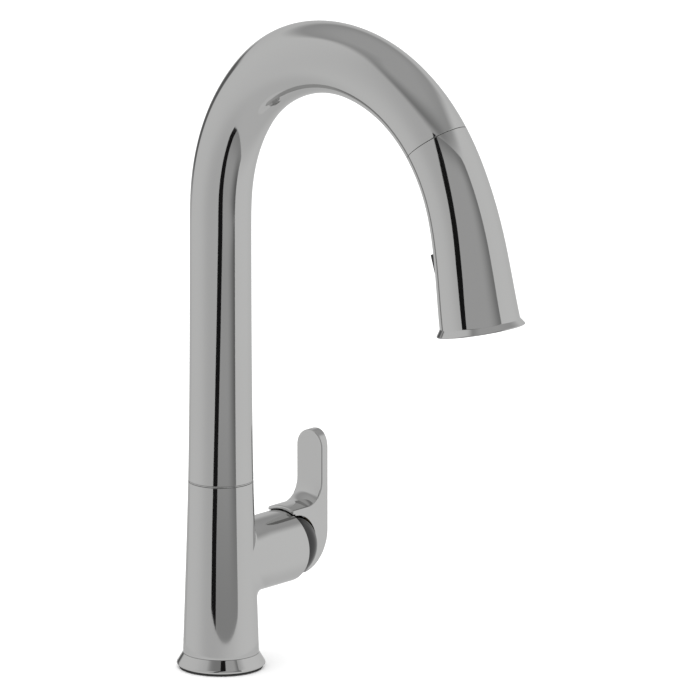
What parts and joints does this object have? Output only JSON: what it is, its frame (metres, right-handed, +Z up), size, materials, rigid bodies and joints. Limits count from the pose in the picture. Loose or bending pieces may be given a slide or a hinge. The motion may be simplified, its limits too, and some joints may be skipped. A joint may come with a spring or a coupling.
{
  "type": "pull down kitchen faucet",
  "caption": "Gooseneck kitchen faucet with a tapered swivel spout, a pull-down spray head on a hose, a selector rocker and a side lever over a dark dome.",
  "frame": {"origin": "centre of the round base, on the deck that the faucet stands on", "axes": "+Z up along the column, -Y the way the spout reaches over the sink, +X the side of the lever"},
  "size_m": [0.111, 0.2442, 0.4741],
  "materials": {
    "chrome": "polished chrome plate",
    "smoked_chrome": "dark polished chrome",
    "brass": "turned brass",
    "steel": "turned stainless steel",
    "black_plastic": "moulded black plastic",
    "white_plastic": "moulded white plastic",
    "rubber": "soft black rubber",
    "nylon_braid": "dark braided nylon sleeve",
    "magnet": "sintered magnet"
  },
  "bodies": {
    "mount": {"base_gasket": "rubber", "base_ring": "chrome", "lower_body": "chrome", "mounting_shank": "steel", "shank_washer_rubber": "rubber", "shank_washer_steel": "steel", "mounting_nut": "brass", "nut_screw_1": "steel", "nut_screw_2": "steel", "waterway_block": "brass", "hot_inlet_tube": "brass", "cold_inlet_tube": "brass", "outlet_tube": "brass", "cartridge_body": "white_plastic", "retaining_nut": "brass", "dome_bonnet": "smoked_chrome", "swivel_sleeve": "brass", "swivel_o_ring_lower": "rubber", "swivel_o_ring_upper": "rubber", "spout_snap_ring": "steel", "seam_ring": "steel", "spray_hose_tail": "nylon_braid", "hose_quick_connect": "black_plastic"},
    "spout": {"spout_shell": "chrome", "swivel_bush_lower": "white_plastic", "swivel_bush_upper": "white_plastic", "dock_socket": "black_plastic", "dock_magnet": "magnet", "spray_hose": "nylon_braid"},
    "hose_fitting": {"hose_end": "nylon_braid", "hose_connector": "brass"},
    "spray_head": {"head_shell": "chrome", "head_neck": "black_plastic", "neck_ring": "steel", "check_valve": "white_plastic", "head_core": "white_plastic", "rocker_pin": "steel", "nozzle_mat": "rubber", "spray_face": "black_plastic", "aerator": "white_plastic", "outlet_trim_ring": "chrome"},
    "rocker": {"rocker_button": "black_plastic"},
    "diverter": {"diverter_plunger": "black_plastic"},
    "rotor": {"cartridge_rotor": "white_plastic", "stem_pin": "steel"},
    "lever": {"lever": "chrome", "cartridge_stem": "brass", "lever_set_screw": "steel"}
  },
  "joints": [
    {"name": "spout_swivel", "type": "hinge", "parent": "mount", "child": "spout", "pos_m": [0, 0, 0.11], "axis": [0, 0, 1], "range_deg": [-120, 120]},
    {"name": "head_pull", "type": "slide", "parent": "spout", "child": "hose_fitting", "axis": [0, -0.6002, -0.7998], "range_m": [0, 0.25], "stiffness_N_per_m": 10, "springref_m": -0.6},
    {"name": "head_swivel", "type": "hinge", "parent": "hose_fitting", "child": "spray_head", "pos_m": [0, -0.16068, 0.3317], "axis": [0, -0.6002, -0.7998], "continuous": true},
    {"name": "selector_rock", "type": "hinge", "parent": "spray_head", "child": "rocker", "pos_m": [0, -0.17036, 0.26407], "axis": [1, 0, 0], "range_deg": [0, 6]},
    {"name": "diverter_shift", "type": "slide", "parent": "spray_head", "child": "diverter", "axis": [0, -0.1882, -0.9821], "range_m": [0, 0.003]},
    {"name": "temperature", "type": "hinge", "parent": "mount", "child": "rotor", "pos_m": [0.0543, 0, 0.0608], "axis": [1, 0, 0], "range_deg": [-45, 45]},
    {"name": "lift", "type": "hinge", "parent": "rotor", "child": "lever", "pos_m": [0.0543, 0, 0.0608], "axis": [0, 1, 0], "range_deg": [0, 25]}
  ],
  "couplings": [
    {"joint": "selector_rock", "follows": "diverter_shift", "rad_per_m": 34.5}
  ]
}
